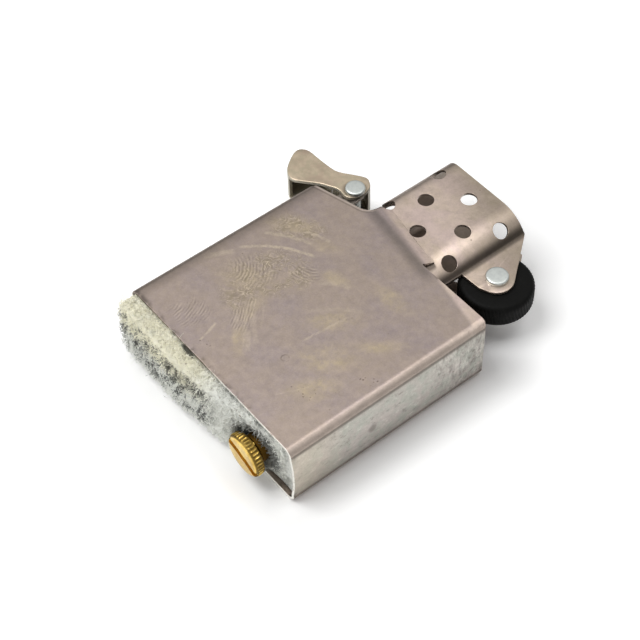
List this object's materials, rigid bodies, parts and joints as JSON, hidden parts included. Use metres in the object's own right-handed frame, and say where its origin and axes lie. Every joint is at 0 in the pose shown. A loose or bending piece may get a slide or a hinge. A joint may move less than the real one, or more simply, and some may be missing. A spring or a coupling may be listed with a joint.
{
  "type": "lighter insert",
  "caption": "Inside unit of a windproof petrol lighter: steel tank with a pierced chimney, flint wheel, lid cam, brass flint screw and felt, lying flat.",
  "frame": {"origin": "centre of the tank's back face, on which the insert lies", "axes": "+Z out of the front face, +Y towards the chimney, +X towards the flint wheel"},
  "size_m": [0.0446, 0.0528, 0.0112],
  "materials": {
    "worn_steel": "worn, stained, satin",
    "deck_steel": "dull",
    "cam_steel": "worn, warm satin",
    "rivet_steel": "bright",
    "spring_steel": "plain",
    "black_steel": "blackened, clogged",
    "tube_brass": "tarnished",
    "screw_brass": "polished by use",
    "flint_metal": "matt",
    "wick_cotton": "woven, charred at the top",
    "cotton": "loose fibres",
    "felt": "fuzzy, smudged"
  },
  "bodies": {
    "insert": {"insert_shell": "worn_steel", "top_plate": "deck_steel", "cam_rivet": "rivet_steel", "cam_spring": "spring_steel", "wheel_rivet": "rivet_steel", "flint_tube": "tube_brass", "wick": "wick_cotton", "cotton_ball_1": "cotton", "cotton_ball_2": "cotton", "cotton_ball_3": "cotton", "cotton_ball_4": "cotton", "cotton_ball_5": "cotton", "cotton_ball_6": "cotton", "felt_pad": "felt"},
    "lid_cam": {"lid_cam": "cam_steel"},
    "flint_wheel": {"flint_wheel": "black_steel"},
    "flint_feed": {"flint": "flint_metal", "flint_plunger": "spring_steel", "flint_spring": "spring_steel"},
    "flint_screw": {"flint_screw": "screw_brass"},
    "felt_flap": {"felt_flap": "felt"}
  },
  "joints": [
    {"name": "wheel_spin", "type": "hinge", "parent": "insert", "child": "flint_wheel", "pos_m": [0.0108, 0.0247, 0.0056], "axis": [0, 0, 1], "continuous": true},
    {"name": "cam_swing", "type": "hinge", "parent": "insert", "child": "lid_cam", "pos_m": [-0.0147, 0.02035, 0.0056], "axis": [0, 0, -1], "range_deg": [0, 70]},
    {"name": "screw_travel", "type": "slide", "parent": "insert", "child": "flint_feed", "axis": [0, -1, 0], "range_m": [0, 0.005]},
    {"name": "screw_turn", "type": "hinge", "parent": "flint_feed", "child": "flint_screw", "pos_m": [0.0108, -0.0177, 0.0056], "axis": [0, -1, 0], "range_deg": [0, 2572]},
    {"name": "flap_fold", "type": "hinge", "parent": "insert", "child": "felt_flap", "pos_m": [0.0039, -0.0182, 0.0056], "axis": [0, 0, 1], "range_deg": [0, 75]}
  ],
  "couplings": [
    {"joint": "screw_turn", "follows": "screw_travel", "rad_per_m": 8976}
  ]
}
